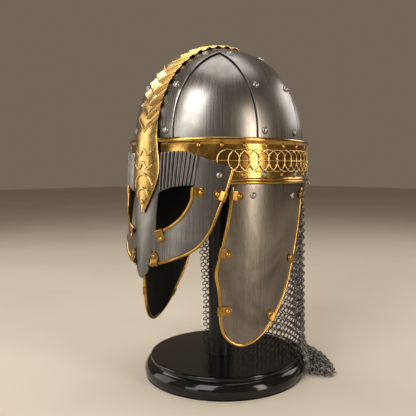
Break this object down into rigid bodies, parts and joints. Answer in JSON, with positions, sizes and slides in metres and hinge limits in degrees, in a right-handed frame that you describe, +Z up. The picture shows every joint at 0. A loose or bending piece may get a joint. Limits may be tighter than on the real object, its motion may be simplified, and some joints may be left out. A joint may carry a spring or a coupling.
{
  "type": "norse iron helmet on a display stand",
  "caption": "Iron spectacle helmet with brass crest and brow band, cheek plates and a mail curtain, worn on the head and shown on a turned black stand.",
  "frame": {"origin": "centre of the stand's foot, on the table", "axes": "+Z up, -Y the way the face looks, +X to the wearer's left"},
  "size_m": [0.2334, 0.2675, 0.4157],
  "materials": {
    "steel": "brushed, darkened",
    "brass": "polished",
    "mail_steel": "oiled",
    "black_gloss": "black gloss paint"
  },
  "bodies": {
    "root": {"bowl_back_left": "steel", "bowl_back_right": "steel", "bowl_front_left": "steel", "bowl_front_right": "steel", "brow_band": "brass", "cheek_clip_left_1": "brass", "cheek_clip_left_2": "brass", "cheek_clip_left_3": "brass", "cheek_clip_left_4": "brass", "cheek_clip_left_5": "brass", "cheek_clip_left_6": "brass", "cheek_clip_right_1": "brass", "cheek_clip_right_2": "brass", "cheek_clip_right_3": "brass", "cheek_clip_right_4": "brass", "cheek_clip_right_5": "brass", "cheek_clip_right_6": "brass", "cheek_plate_left": "steel", "cheek_plate_right": "steel", "cheek_trim_left": "brass", "cheek_trim_right": "brass", "crest": "brass", "mail_curtain": "mail_steel", "ocular": "steel", "ocular_edge_clip_left_1": "brass", "ocular_edge_clip_left_2": "brass", "ocular_edge_clip_right_1": "brass", "ocular_edge_clip_right_2": "brass", "ocular_edge_trim_left": "brass", "ocular_edge_trim_right": "brass", "ocular_eye_clip_left_1": "brass", "ocular_eye_clip_left_2": "brass", "ocular_eye_clip_right_1": "brass", "ocular_eye_clip_right_2": "brass", "ocular_eye_trim_left": "brass", "ocular_eye_trim_right": "brass", "stand_base": "black_gloss", "stand_post": "black_gloss", "strap_left": "steel", "strap_long": "steel", "strap_right": "steel"}
  },
  "joints": []
}
